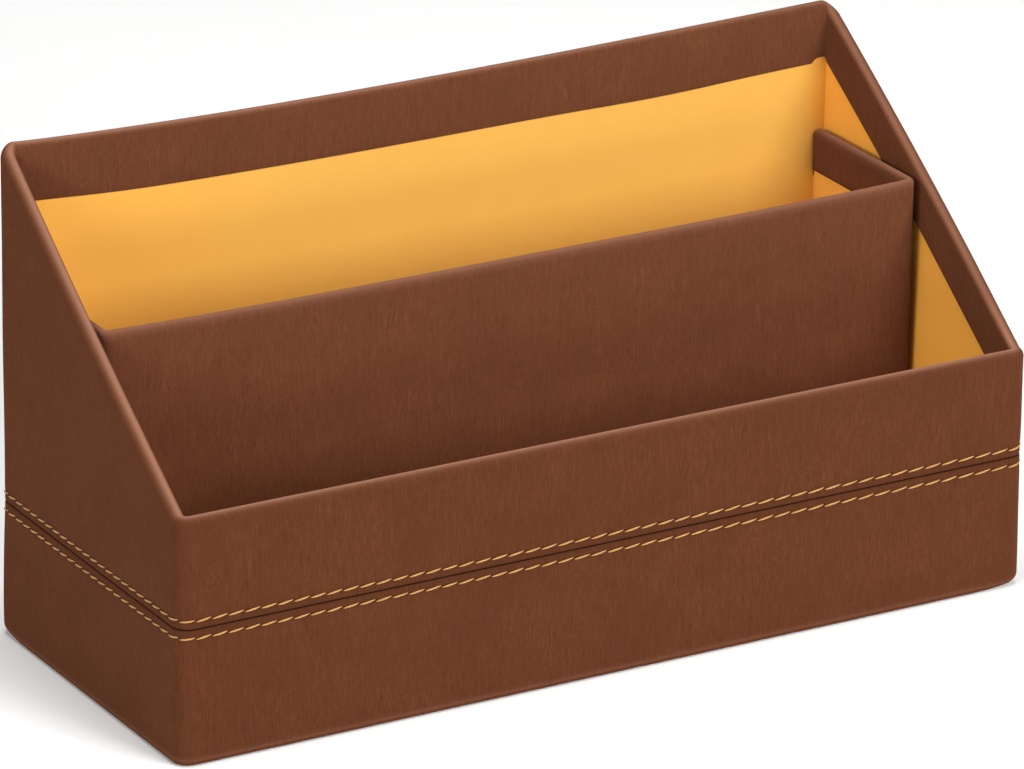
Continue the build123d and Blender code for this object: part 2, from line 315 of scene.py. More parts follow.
@dataclass(frozen=True)
class Thread:
    """Twisted polyester sewing thread: bright ply ridges with grooves wound round it, darkened with painted shade."""

    name: str = "polyester_thread_golden"
    base: str = "#C9933A"
    groove_shade: str = "#8A5A1C"
    plies: int = 3
    roughness: float = 0.42

    def material(self) -> bpy.types.Material:
        """Return the finished material. The UV map runs along the thread and once round it."""
        material, tree, shader = new_material(self.name)
        uv = add_node(tree, "ShaderNodeUVMap", uv_map="twist").outputs[0]
        parts = add_node(tree, "ShaderNodeSeparateXYZ", {0: uv})
        turns = add_node(tree, "ShaderNodeMath", {0: parts.outputs[1], 1: float(self.plies)}, operation="MULTIPLY")
        phase = add_node(tree, "ShaderNodeMath", {0: parts.outputs[0], 1: turns.outputs[0]}, operation="ADD")
        angle = add_node(tree, "ShaderNodeMath", {0: phase.outputs[0], 1: 2 * math.pi}, operation="MULTIPLY")
        ridge = add_node(tree, "ShaderNodeMath", {0: angle.outputs[0]}, operation="SINE").outputs[0]
        # Painted shade in the grooves between the plies.
        colour = tint(tree, ramp(tree, ridge, -1.0, 0.2), linear(self.groove_shade), linear(self.base))
        bump = add_node(tree, "ShaderNodeBump", {"Height": ridge, "Strength": 0.6, "Distance": 0.05 * MM})
        tree.links.new(colour, shader.inputs["Base Color"])
        tree.links.new(bump.outputs[0], shader.inputs["Normal"])
        shader.inputs["Roughness"].default_value = self.roughness
        shader.inputs["IOR"].default_value = 1.55
        shader.inputs["Sheen Weight"].default_value = 0.2
        return material


@dataclass(frozen=True)
class Sheet:
    """A plain board, tape or glue with a speckled or streaked matt surface."""

    name: str
    base: str
    speck: str
    speck_size: tuple[float, float, float]
    roughness: float = 0.9
    ior: float = 1.5
    gloss: float = 0.5

    def material(self) -> bpy.types.Material:
        """Return the finished material."""
        material, tree, shader = new_material(self.name)
        place = add_node(tree, "ShaderNodeTexCoord").outputs["Object"]
        specks = noise(tree, scaled(tree, place, self.speck_size), 4.0, 0.65)
        colour = tint(tree, ramp(tree, specks, 0.42, 0.66), linear(self.base), linear(self.speck))
        bump = add_node(tree, "ShaderNodeBump", {"Height": specks, "Strength": 0.3, "Distance": 0.05 * MM})
        tree.links.new(colour, shader.inputs["Base Color"])
        tree.links.new(bump.outputs[0], shader.inputs["Normal"])
        shader.inputs["Roughness"].default_value = self.roughness
        shader.inputs["IOR"].default_value = self.ior
        shader.inputs["Specular IOR Level"].default_value = self.gloss
        return material


class Finish(Enum):
    """The finishes of the box, each with the material slot of the record that it dresses."""

    LEATHERETTE = "leatherette"
    INSERT_LEATHERETTE = "insert_leatherette"
    GREYBOARD = "greyboard"
    LINING_PAPER = "lining_paper"
    BASE_PAPER = "base_paper"
    TAPE = "tape"
    THREAD = "thread"
    GLUE = "glue"


class Finishes:
    """Makes each finish once and puts it on pieces."""

    def __init__(self) -> None:
        """Make every material."""
        cover = Leatherette()
        recipes = {
            Finish.LEATHERETTE: cover,
            Finish.INSERT_LEATHERETTE: Leatherette(name="leatherette_brushed_brown_insert"),
            # Pressed grey pulp with lighter and darker flecks of recycled paper.
            Finish.GREYBOARD: Sheet("greyboard", "#8F8A82", "#A8A298", (1.2, 1.2, 1.2)),
            Finish.LINING_PAPER: Paper(),
            # Dark brown paper with short, close fibres.
            Finish.BASE_PAPER: Sheet("dyed_paper_dark_brown", "#3B2418", "#4A2F20", (0.6, 0.6, 0.6), 0.8),
            # Kraft tape with streaks along it, painted almost black as the shade in the gap of the seam.
            Finish.TAPE: Sheet("kraft_tape_shaded", "#210F07", "#2E160B", (3.0, 3.0, 0.5), 0.9, 1.5, 0.03),
            Finish.THREAD: Thread(),
            # Hot-melt glue, set in smooth cream-coloured pads.
            Finish.GLUE: Sheet("hot_melt_glue", "#D8CDA6", "#E6DDBE", (2.5, 2.5, 2.5), 0.35, 1.48),
        }
        self.materials = {finish: recipe.material() for finish, recipe in recipes.items()}

    def dress(self, piece: bpy.types.Object, finish: Finish) -> None:
        """Put a finish on a new piece."""
        piece.data.materials.clear()
        piece.data.materials.append(self.materials[finish])

    def dress_node(self, node: bpy.types.Object, finish: Finish) -> None:
        """Put a finish on a carried-over solid through its object's material slots."""
        for holder in node.material_slots:
            holder.link = "OBJECT"
            holder.material = self.materials[finish]


@dataclass(frozen=True)
class Box:
    """Sizes of the box, in millimetres, as they are in its solids."""

    width: float = 240.0
    depth: float = 97.0
    front_height: float = 63.5
    back_height: float = 128.0
    corner_radius: float = 4.2
    back_fold_inset: float = 0.8
    wall: float = 3.7
    leather: float = 0.5
    lining_face: float = 3.2
    under_level: float = 0.3
    foot_radius: float = 0.8
    corner_foot_radius: float = 2.9
    corner_foot_reach: float = 6.5
    under_turn: float = 15.0
    outer_roll: float = 2.1
    inner_roll: float = 1.2
    side_turn_in: float = 13.8
    back_turn_in: float = 16.0
    seam_height: float = 35.4
    seam_gap: float = 0.4

    @property
    def slope(self) -> float:
        """Rise of the side rims for each millimetre of depth."""
        return (self.back_height - self.front_height) / (self.depth - self.corner_radius - self.back_fold_inset)

    @property
    def corner_rise(self) -> float:
        """Rise of the rim within each back corner."""
        return self.slope * (self.corner_radius - self.back_fold_inset)

    def pressed(self, points: np.ndarray) -> np.ndarray:
        """Round the foot more at all corners but the front left one, where the pleated leather is pressed flat.

        The foot's radius is its own plus a bell-shaped share, by the distance along the wall from the corner's middle,
        of what it lacks to the corner's. A point outside that arc is pulled towards the arc's centre, onto a layer as
        deep under the surface as the one that it left.

        Args:
            points: Places in millimetres, with X, Y and Z along the last axis.

        Returns:
            The pressed places.
        """
        x, y, z = points[..., 0], points[..., 1], points[..., 2]
        over_x = np.abs(x) - self.width / 2 + self.corner_radius
        over_y = np.abs(y) - self.depth / 2 + self.corner_radius
        out_x, out_y = np.maximum(over_x, 0), np.maximum(over_y, 0)
        reach = np.hypot(out_x, out_y)
        depth = self.corner_radius - np.where(reach > 0, reach, np.maximum(over_x, over_y))
        turned = self.corner_radius * np.abs(np.arctan2(out_y, out_x) - math.pi / 4)
        along = turned + np.maximum(-over_x, 0) + np.maximum(-over_y, 0)
        lacking = np.where((x < 0) & (y < 0), 0, self.corner_foot_radius - self.foot_radius)
        foot = self.foot_radius + lacking * np.exp(-((along / self.corner_foot_reach) ** 2))
        up = z - self.under_level
        left_x, left_z = self.foot_radius - depth, self.foot_radius - up
        bare = np.hypot(np.maximum(left_x, 0), np.maximum(left_z, 0)) + np.minimum(np.maximum(left_x, left_z), 0)
        layer = np.clip(self.foot_radius - bare, -0.3, self.leather)
        in_x, in_z = np.maximum(foot - depth, 0), np.maximum(foot - up, 0)
        kept = np.minimum((foot - layer) / np.maximum(np.hypot(in_x, in_z), 1e-9), 1)
        moved = in_x * (1 - kept) / np.maximum(reach, 1e-9)
        return np.stack([x - np.sign(x) * out_x * moved, y - np.sign(y) * out_y * moved, z + in_z * (1 - kept)], axis=-1)


@dataclass(frozen=True)
class Slump:
    """The set that the glued board has taken: the high back and the divider lean in, and the sides stand out.

    Each field is a distance in millimetres at the top of its wall.
    """

    back_bow: float = 5.5
    divider_bow: float = 2.2
    left_bow: float = 0.3
    right_bow: float = 0.8
    left_lean: float = 0.75
    right_lean: float = 0.45
    start_level: float = 36.0
    floor_level: float = 3.5
    box: Box = Box()
    divider_height: float = 94.3

    def moved(self, points: np.ndarray) -> np.ndarray:
        """Move points with the walls that they are part of.

        The back wall leans in by a half sine wave whose peak lies left of the middle. The divider leans forward
        over all but its ends. The side walls bulge by a parabola along the depth. Each grows smoothly with height.
        The left wall also stands further in towards the back, and the right one towards the front, by parabolas.

        Args:
            points: Places in millimetres, with X, Y and Z along the last axis.

        Returns:
            The moved places.
        """
        points = self.box.pressed(points)
        x, y, z = points[..., 0], points[..., 1], points[..., 2]
        half = self.box.width / 2 - self.box.wall
        rise = np.clip((z - self.start_level) / (self.box.back_height - self.start_level), 0, 1)
        grown = rise**1.25 * (1.5 - 0.5 * rise)
        along = np.clip((x + half) / (2 * half), 0, 1)
        near_back = np.clip((y - 30) / 10, 0, 1)
        back = self.back_bow * np.sin(np.pi * along**0.75) * grown * near_back
        tall = np.clip((z - self.floor_level) / (self.divider_height - self.floor_level), 0, 1.1)
        near_middle = np.clip((12 - np.abs(y)) / 6, 0, 1)
        divider = self.divider_bow * (1 - np.abs(2 * along - 1) ** 4) * tall**2 * near_middle
        near_side = np.clip((np.abs(x) - half + 0.25) / 0.2, 0, 1)
        bulge = np.clip(1 - (2 * y / self.box.depth) ** 2, 0, 1)
        side = np.where(x < 0, -self.left_bow, self.right_bow) * bulge * np.minimum(grown * 2, 1) * near_side
        backwards = y / self.box.depth + 0.5
        left_in = self.left_lean * backwards**2 * np.clip((-x - 60) / 56, 0, 1)
        right_in = self.right_lean * (1 - backwards) ** 2 * np.clip((x - 60) / 56, 0, 1)
        up = np.clip((z - 6) / 34, 0, 1)
        lean = (left_in - right_in) * up * up * (3 - 2 * up)
        return np.stack([x + side + lean, y - back - divider, z], axis=-1)


@dataclass
class Shell:
    """Points of a surface on a grid, with the values that its finish reads."""

    points: np.ndarray
    rest: np.ndarray
    # Share of rubbed wear and painted highlight.
    wear_and_highlight: np.ndarray
    # Share of painted shade.
    painted_shade: np.ndarray
    # Share of painted light inside the box.
    inner: np.ndarray

    def piece(self, name: str, closed_along: bool, slump: Slump, weld: bool = False) -> bpy.types.Object:
        """Make the mesh of the grid, closed across its section and, if asked, along its path.

        Args:
            name: The piece's name.
            closed_along: True if the last column joins the first.
            slump: The set of the walls, which moves the points.
            weld: True to merge points that share a place.

        Returns:
            The new object, with the values as attributes of its points.
        """
        columns, rows = self.points.shape[:2]
        number = np.arange(columns * rows).reshape(columns, rows)
        if closed_along:
            after = np.roll(number, -1, axis=0)
            here = number
        else:
            here, after = number[:-1], number[1:]
        quads = np.stack([here, after, np.roll(after, -1, axis=1), np.roll(here, -1, axis=1)], axis=-1)
        mesh = mesh_of(name, slump.moved(self.points).reshape(-1, 3) * MM, quads.reshape(-1, 4))
        place = mesh.attributes.new("rest", "FLOAT_VECTOR", "POINT")
        place.data.foreach_set("vector", (self.rest.reshape(-1, 3) * MM).astype(np.float32).ravel())
        for label, values in (("wear_and_highlight", self.wear_and_highlight), ("painted_shade", self.painted_shade), ("inner", self.inner)):
            held = mesh.attributes.new(label, "FLOAT", "POINT")
            held.data.foreach_set("value", values.astype(np.float32).ravel())
        if weld:
            work = bmesh.new()
            work.from_mesh(mesh)
            bmesh.ops.remove_doubles(work, verts=work.verts, dist=1e-7)
            work.to_mesh(mesh)
            work.free()
        return shown(name, mesh)


def mesh_of(name: str, points: np.ndarray, faces: np.ndarray) -> bpy.types.Mesh:
    """Make a mesh from points in metres and faces that all have the same number of corners.

    Args:
        name: The mesh's name.
        points: Places, one to a row.
        faces: Numbers of the points round each face, one face to a row.

    Returns:
        The mesh.
    """
    mesh = bpy.data.meshes.new(name)
    count, corners = faces.shape
    mesh.vertices.add(len(points))
    mesh.vertices.foreach_set("co", points.astype(np.float32).ravel())
    mesh.loops.add(count * corners)
    mesh.loops.foreach_set("vertex_index", faces.astype(np.int32).ravel())
    mesh.polygons.add(count)
    mesh.polygons.foreach_set("loop_start", np.arange(0, count * corners, corners, dtype=np.int32))
    mesh.update(calc_edges=True)
    mesh.validate()
    return mesh


def shown(name: str, mesh: bpy.types.Mesh, sharp_angle: float = 40.0) -> bpy.types.Object:
    """Put a mesh in the scene, smooth except at its sharp edges, and let it ride on the box.

    Args:
        name: The piece's name.
        mesh: Its mesh.
        sharp_angle: Edges that turn by more than this many degrees stay sharp.

    Returns:
        The new object.
    """
    mesh.polygons.foreach_set("use_smooth", np.ones(len(mesh.polygons), dtype=bool))
    mesh.set_sharp_from_angle(angle=math.radians(sharp_angle))
    piece = bpy.data.objects.new(name, mesh)
    bpy.context.scene.collection.objects.link(piece)
    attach(piece, "root")
    log.info("piece %s: %d points, %d faces", name, len(mesh.vertices), len(mesh.polygons))
    return piece


@dataclass
class Path:
    """Places round the box, in the order back, left, front, right, back, seen from above against the clock.

    Each place is a share of the way from the middle to a corner's centre, in X and in Y, and the way that the
    outer face looks there.
    """

    box: Box = field(default_factory=Box)
    step: float = 0.9
    corner_steps: int = 12

    def __post_init__(self) -> None:
        """Work out the places, their distance along the path, the rim over each, and the strength of its painted
        highlight.

        The rim is level along the front and round the front corners, climbs evenly along the sides, and bends to the
        level of the back wall by a cubic within each back corner. Its painted highlight is weakest at the right and
        the back.
        """
        box = self.box
        straight_x = box.width / 2 - box.corner_radius
        straight_y = box.depth / 2 - box.corner_radius
        half_back = np.linspace(0, 1, round(straight_x / self.step), endpoint=False)
        side = np.linspace(-1, 1, round(2 * straight_y / self.step), endpoint=False)
        front = np.linspace(-1, 1, round(2 * straight_x / self.step), endpoint=False)
        turn = np.linspace(0, math.pi / 2, self.corner_steps, endpoint=False)
        runs = [
            (-half_back, 1.0, math.pi / 2),
            (-1.0, 1.0, math.pi / 2 + turn),
            (-1.0, -side, math.pi),
            (-1.0, -1.0, math.pi + turn),
            (front, -1.0, 1.5 * math.pi),
            (1.0, -1.0, 1.5 * math.pi + turn),
            (1.0, side, 0.0),
            (1.0, 1.0, turn),
            (1 - half_back, 1.0, math.pi / 2),
        ]
        joined = [np.stack(np.broadcast_arrays(*run), axis=-1) for run in runs]
        self.share_x, self.share_y, angle = np.concatenate(joined).T
        self.normal = np.stack([np.cos(angle), np.sin(angle)], axis=-1)
        outer = self.plan(np.zeros(1))[:, 0]
        hops = np.linalg.norm(np.diff(outer, axis=0, append=outer[:1]), axis=1)
        self.distance = np.concatenate([[0], np.cumsum(hops)[:-1]])
        self.length = float(hops.sum())
        self.outer = outer
        turned = np.arcsin(np.clip(np.abs(self.normal[:, 0]), 0, 1)) / (math.pi / 2)
        end_slope = (box.corner_radius - box.wall / 2) * math.pi / 2 / (box.corner_radius - box.back_fold_inset)
        fallen = (3 - end_slope) * turned**2 + (end_slope - 2) * turned**3
        towards_back = (1 + self.share_y) / 2
        at_back = box.back_height - box.corner_rise * fallen
        self.rim = box.front_height * (1 - towards_back) + at_back * towards_back
        # How strong the painted highlight on the rim is: full at the front and left, weaker towards the right and the
        # back.
        right = (1 + self.share_x) / 2
        self.rim_highlight_strength = 1 - 0.45 * right * np.clip((self.share_y + 1) / 0.3, 0, 1)
        on_back = (self.share_y > 0.999).astype(float)
        notch = 1.3 * np.clip((np.abs(outer[:, 0]) - 112.4) / 1.1, 0, 1) * on_back
        notch = notch * notch * (3 * 1.3 - 2 * notch) / 1.3**2
        deeper = (box.back_turn_in - box.side_turn_in) * on_back * (1 - turned)
        wander = 0.7 * np.exp(-(((outer[:, 0] - 66) / 26) ** 2)) - 0.8 * np.exp(-(((outer[:, 0] + 114) / 20) ** 2))
        self.turn_in = box.side_turn_in + np.maximum(deeper - notch * (1 - turned) + wander * on_back, 0)

    def plan(self, inset: np.ndarray) -> np.ndarray:
        """Places at depths from the outer face.

        The corner's radius is the outer radius less the depth, down to the radius of the inner face. A place is its
        share of the way to the corner's centre, plus the radius along the way that the face looks.

        Args:
            inset: Depths in millimetres, for each place along the path or the same for all.

        Returns:
            X and Y for each place along the path and each depth.
        """
        box = self.box
        radius = box.corner_radius - np.clip(inset, 0, box.wall)
        x = self.share_x[:, None] * (box.width / 2 - inset - radius) + radius * self.normal[:, :1]
        y = self.share_y[:, None] * (box.depth / 2 - inset - radius) + radius * self.normal[:, 1:]
        return np.stack([x, y], axis=-1)

    def at(self, distance: np.ndarray) -> tuple[np.ndarray, np.ndarray]:
        """Place and outward direction at distances along the path.

        Args:
            distance: Distances in millimetres, which may pass the path's end.

        Returns:
            X and Y of each place on the outer face, and of the outward direction there.
        """
        where = np.mod(distance, self.length)
        marks = np.append(self.distance, self.length)
        outer = np.concatenate([self.outer, self.outer[:1]])
        normal = np.concatenate([self.normal, self.normal[:1]])
        place = np.stack([np.interp(where, marks, outer[:, axis]) for axis in (0, 1)], axis=-1)
        facing = np.stack([np.interp(where, marks, normal[:, axis]) for axis in (0, 1)], axis=-1)
        return place, facing / np.linalg.norm(facing, axis=-1, keepdims=True)


@dataclass
class Stitching:
    """Two rows of slanting stitches in step with each other, one on each side of the seam."""

    path: Path
    seam_height: float = 35.4
    row_offset: float = 2.25
    thread_width: float = 0.48
    thread_height: float = 0.38
    tilt: float = 7.5
    shown_share: float = 0.93
    turn_length: float = 1.1
    rings: int = 9
    sides: int = 6

    def __post_init__(self) -> None:
        """Set the stitches along the path.

        The pitch opens from left to right along the front, and is closer on the side walls. Each start is the sum of
        the pitches before it, with one stitch starting at a measured place beside the front left corner.
        """
        path = self.path
        marks, pitches = [], []
        for share_x, share_y, pitch in (
            (0, 1, 4.7), (-0.98, 1, 4.5), (-1, 0.9, 4.1), (-1, -0.9, 4.1), (-0.98, -1, 4.37), (0.98, -1, 5.07),
            (1, -0.9, 4.3), (1, 0.9, 4.2), (0.98, 1, 4.6),
        ):
            near = np.hypot(path.share_x - share_x, path.share_y - share_y)
            marks.append(path.distance[int(np.argmin(near))])
            pitches.append(pitch)
        fine = np.arange(0, path.length, 0.05)
        density = 1 / np.interp(fine, marks + [path.length], pitches + [pitches[0]])
        passed = np.cumsum(density) * 0.05
        count = round(passed[-1])
        passed *= count / passed[-1]
        front_left = path.distance[int(np.argmin(np.hypot(path.outer[:, 0] + 106.35, path.outer[:, 1] + path.box.depth / 2)))]
        phase = np.interp(front_left, fine, passed) % 1
        self.starts = np.interp((np.arange(count) + phase) % count, passed, fine)
        self.starts.sort()
        self.pitches = np.mod(np.roll(self.starts, -1) - self.starts, path.length)

    def heights(self) -> tuple[float, float]:
        """Heights of the lower and upper row."""
        return self.seam_height - self.row_offset, self.seam_height + self.row_offset

    def pull(self, distance: np.ndarray) -> np.ndarray:
        """How strongly the leather is pulled in at distances along the path: 1 at a needle hole, 0 between holes."""
        holes = np.concatenate([self.starts, self.starts + self.shown_share * self.pitches])
        gap = np.abs(distance[:, None] - holes[None, :])
        gap = np.minimum(gap, self.path.length - gap).min(axis=1)
        return np.exp(-((gap / 0.55) ** 2))

    def row(self, name: str, level: float, slump: Slump) -> bpy.types.Object:
        """Make one row of stitches.

        Each stitch is a tube along the path from hole to hole. Its line climbs evenly by the tilt, and its height over
        the leather is a flattened half sine, so that both ends dive into their holes. Its radius swells from the ends
        to the middle.

        Args:
            name: The piece's name.
            level: The row's height.
            slump: The set of the walls, which moves the row.

        Returns:
            The row as one object.
        """
        count = len(self.starts)
        share = np.linspace(0, 1, self.rings)
        length = self.shown_share * self.pitches
        along = self.starts[:, None] + share * length[:, None]
        place, facing = self.path.at(along)
        swell = np.sin(math.pi * np.clip(share, 0.012, 0.988)) ** 0.36
        climb = (share - 0.5) * math.tan(math.radians(self.tilt)) * length[:, None]
        wander = 0.06 * np.sin(np.arange(count) * 2.4)[:, None] * (share - 0.5)
        round_angle = np.linspace(0, 2 * math.pi, self.sides, endpoint=False)
        lift = self.thread_height * (0.62 * swell - 0.42)
        out = lift[:, None] + self.thread_height / 2 * swell[:, None] * np.cos(round_angle)
        up = self.thread_width / 2 * swell[:, None] * np.sin(round_angle)
        points = np.empty((count, self.rings, self.sides, 3))
        points[..., :2] = place[:, :, None, :] + facing[:, :, None, :] * out[None, :, :, None]
        points[..., 2] = level + (climb + wander)[:, :, None] + up[None]
        number = np.arange(points[..., 0].size).reshape(count, self.rings, self.sides)
        here, after = number[:, :-1], number[:, 1:]
        quads = np.stack([here, after, np.roll(after, -1, axis=2), np.roll(here, -1, axis=2)], axis=-1)
        mesh = mesh_of(name, slump.moved(points).reshape(-1, 3) * MM, quads.reshape(-1, 4))
        turns = np.broadcast_to((share * length[:, None] / self.turn_length)[:, :, None], number.shape)
        around = np.broadcast_to(np.arange(self.sides) / self.sides, number.shape)
        corner = np.empty(len(mesh.loops), dtype=np.int32)
        mesh.loops.foreach_get("vertex_index", corner)
        twist = mesh.uv_layers.new(name="twist")
        wrapped = around.ravel()[corner].reshape(-1, 4)
        wrapped[wrapped.max(axis=1) - wrapped.min(axis=1) > 0.6] %= 1
        over = (wrapped.max(axis=1, keepdims=True) - wrapped > 0.6) & (wrapped < 0.4)
        wrapped = wrapped + over
        twist.data.foreach_set("uv", np.stack([turns.ravel()[corner], wrapped.ravel()], axis=-1).ravel())
        work = bmesh.new()
        work.from_mesh(mesh)
        bmesh.ops.holes_fill(work, edges=work.edges, sides=self.sides)
        bmesh.ops.recalc_face_normals(work, faces=work.faces)
        work.to_mesh(mesh)
        work.free()
        return shown(name, mesh, 80.0)


def arc(centre: tuple[float, float], radius: float, start: float, end: float, steps: int) -> np.ndarray:
    """Points on an arc: the centre plus the radius turned evenly from one angle to another.

    Args:
        centre: The arc's centre.
        radius: Its radius.
        start: The first angle, in degrees.
        end: The last angle, in degrees.
        steps: How many points.

    Returns:
        One point to a row.
    """
    angle = np.radians(np.linspace(start, end, steps))
    return np.stack([centre[0] + radius * np.cos(angle), centre[1] + radius * np.sin(angle)], axis=-1)


@dataclass
class Covers:
    """The two leatherette bands of the box, above and below the seam."""

    path: Path
    stitching: Stitching
    slump: Slump
    dip: float = 0.22
    valley: float = 0.16
    hole_depth: float = 0.14

    def sunk(self, height: np.ndarray) -> tuple[np.ndarray, np.ndarray]:
        """How far the outer face is pulled in near the seam, and how much painted shade it takes there.

        The pull is an exponential fall from the seam's edge, plus a bell-shaped valley along the stitch row, deeper at
        each needle hole.

        Args:
            height: Height of each point over the seam's middle, columns along the path.

        Returns:
            The depth in millimetres and the darkness from 0 to 1.
        """
        away = np.abs(height)
        row = np.exp(-(((away - self.stitching.row_offset) / 0.75) ** 2))
        hole = self.stitching.pull(self.path.distance)[:, None]
        edge = np.exp(-away / 0.45)
        depth = self.dip * edge + row * (self.valley + self.hole_depth * hole)
        between = 1 / (1 + np.exp((away - self.stitching.row_offset) / 0.25))
        # Painted shade between the rows, at the seam's edge and at each needle hole.
        dark = 0.12 * between + 0.6 * np.exp(-away / 0.3) + 0.5 * hole * np.exp(-(((away - self.stitching.row_offset) / 0.4) ** 2))
        return depth, np.clip(dark, 0, 1)

    def wave(self, along: np.ndarray, height: np.ndarray) -> np.ndarray:
        """A slight unevenness of the glued leather: three crossed sine waves, long against the wall's height."""
        return 0.035 * (
            np.sin(along / 17.0 + height / 23.0)
            + np.sin(along / 9.5 - height / 14.0 + 1.3)
            + np.sin(along / 31.0 + height / 8.0 + 0.6)
        )

    def upper(self) -> bpy.types.Object:
        """Make the band above the seam.

        Its section is a closed loop of depth from the outer face against height under the rim: up the outer face from
        the seam, over the rolled rim, down inside to the turned-in edge, and back along the boards.
        """
        box = self.path.box
        seam = box.seam_height + box.seam_gap / 2
        rim = self.path.rim[:, None]
        turn_in = self.path.turn_in[:, None]
        face_top = rim - box.outer_roll
        edge_radius = 0.18
        columns = len(rim)
        outside = [
            (np.zeros(len(SEAM_STEPS)), SEAM_STEPS, seam),
            (np.zeros(13), np.linspace(0, 1, 14)[1:] ** 0.9 * (face_top - seam - SEAM_STEPS[-1]), seam + SEAM_STEPS[-1]),
        ]
        over = [
            (*arc((box.outer_roll, -box.outer_roll), box.outer_roll, 180, 90, 13)[1:].T, rim),
            (*arc((box.wall - box.inner_roll, -box.inner_roll), box.inner_roll, 90, 0, 11).T, rim),
        ]
        down = np.linspace(0, 1, 9)[1:] * (turn_in - box.inner_roll - edge_radius)
        inside = [
            (np.full(8, box.wall), -down, rim - box.inner_roll),
            (*arc((box.wall - edge_radius, edge_radius), edge_radius, 0, -90, 4)[1:].T, rim - turn_in),
            (np.array([box.lining_face + 0.02]), np.array([0.02]), rim - turn_in),
        ]
        behind = [
            (*arc((box.lining_face - 0.9, -1.4), 0.9, 0, 90, 5).T, rim),
            (*arc((box.leather + 0.9, -1.4), 0.9, 90, 180, 5).T, rim),
            (np.full(2, box.leather), np.array([SEAM_STEPS[-1], 0.0]), seam),
        ]
        parts = outside + over + inside + behind
        depth = np.concatenate([np.broadcast_to(across, (columns, len(across))) for across, _, _ in parts], axis=1)
        height = np.concatenate([np.broadcast_to(up + base, (columns, len(across))) for across, up, base in parts], axis=1)
        sizes = [sum(len(across) for across, _, _ in group) for group in (outside, over, inside)]
        on_face = np.arange(depth.shape[1]) < sizes[0]
        seen = np.arange(depth.shape[1]) < sum(sizes)
        sunk, dark = self.sunk(height - box.seam_height)
        fade = np.clip((face_top - height) / 6, 0, 1) * np.clip((height - seam - 3) / 4, 0, 1)
        push = np.where(on_face, sunk - self.wave(self.path.distance[:, None], height) * fade, 0)
        hops = np.hypot(np.diff(depth, axis=1), np.diff(height, axis=1))
        length = np.concatenate([np.zeros((columns, 1)), np.cumsum(hops, axis=1)], axis=1) + seam
        # A band of rubbed wear and painted highlight over the rolled rim, peaking just past its top.
        past_top = length - length[:, sizes[0] + 11 : sizes[0] + 12]
        worn_and_lit = np.exp(-(((past_top - 0.5) / np.where(past_top < 0.5, 1.3, 0.8)) ** 2))
        wear_and_highlight = np.where(seen & ~(on_face & (past_top < -6)), worn_and_lit * self.path.rim_highlight_strength[:, None], 0)
        around = np.broadcast_to(self.path.outer[:, None, :], depth.shape + (2,))
        rest = np.concatenate([around, length[..., None]], axis=-1)
        # Painted shade beside the seam and at the needle holes.
        painted_shade = np.where(on_face, dark, 0)
        # Share of painted light inside the box, growing towards the inner face.
        inner = np.clip(depth / box.wall, 0, 1) ** 2
        return self.shell(depth + push, height, rest, wear_and_highlight, painted_shade, inner).piece("upper_cover_leather", True, self.slump)

    def lower(self) -> bpy.types.Object:
        """Make the band below the seam.

        Its section runs from the turned-under edge out along the underside, round the foot, up the outer face to the
        seam, and back down along the boards.
        """
        box = self.path.box
        seam = box.seam_height - box.seam_gap / 2
        foot = arc((box.foot_radius, box.under_level + box.foot_radius), box.foot_radius, 270, 180, 9)
        climb = foot[-1, 1] + np.concatenate([[0.5, 1.1, 1.8, 2.6, 3.4], np.linspace(4.4, seam - SEAM_STEPS[-1] - 4.4, 8)])
        under = np.array([box.under_turn, 8.0, 5.5, 4.2, 3.4, 2.6, 1.9, 1.3])
        section = np.concatenate([
            [[box.under_turn, box.under_level + box.leather]],
            np.stack([under, np.full(len(under), box.under_level)], axis=-1),
            foot,
            np.stack([np.zeros(len(climb)), climb], axis=-1),
            np.stack([np.zeros(len(SEAM_STEPS)), seam - SEAM_STEPS[::-1]], axis=-1),
            [[box.leather, seam], [box.leather, box.under_level + box.leather]],
        ])
        columns = len(self.path.distance)
        depth = np.broadcast_to(section[:, 0], (columns, len(section))).copy()
        height = np.broadcast_to(section[:, 1], (columns, len(section))).copy()
        face = (np.arange(len(section)) > len(under) + len(foot)) & (np.arange(len(section)) < len(section) - 2)
        sunk, dark = self.sunk(height - box.seam_height)
        fade = np.clip((height - 2) / 5, 0, 1) * np.clip((seam - 3 - height) / 4, 0, 1)
        push = np.where(face, sunk - self.wave(self.path.distance[:, None], height) * fade, 0)
        hops = np.hypot(np.diff(depth, axis=1), np.diff(height, axis=1))
        length = np.concatenate([np.zeros((columns, 1)), np.cumsum(hops, axis=1)], axis=1) - box.under_turn
        around = np.broadcast_to(self.path.outer[:, None, :], depth.shape + (2,))
        rest = np.concatenate([around, length[..., None]], axis=-1)
        # Rubbed wear and a painted highlight along the rounded foot.
        wear_and_highlight = np.where(face, 0.35 * np.exp(-(((height - 1.0) / 0.9) ** 2)), 0)
        # Painted shade beside the seam and at the needle holes.
        painted_shade = np.where(face, dark, 0)
        inner = np.zeros_like(depth)
        return self.shell(depth + push, height, rest, wear_and_highlight, painted_shade, inner).piece("lower_cover_leather", True, self.slump)

    def shell(self, depth: np.ndarray, height: np.ndarray, *values: np.ndarray) -> Shell:
        """Carry a section along the path. Each point is the plan place at its depth, at its own height.

        Args:
            depth: Depth of each point from the outer face, columns along the path.
            height: Height of each point.
            values: The shell's other values, in their order.

        Returns:
            The surface.
        """
        return Shell(np.concatenate([self.path.plan(depth), height[..., None]], axis=-1), *values)


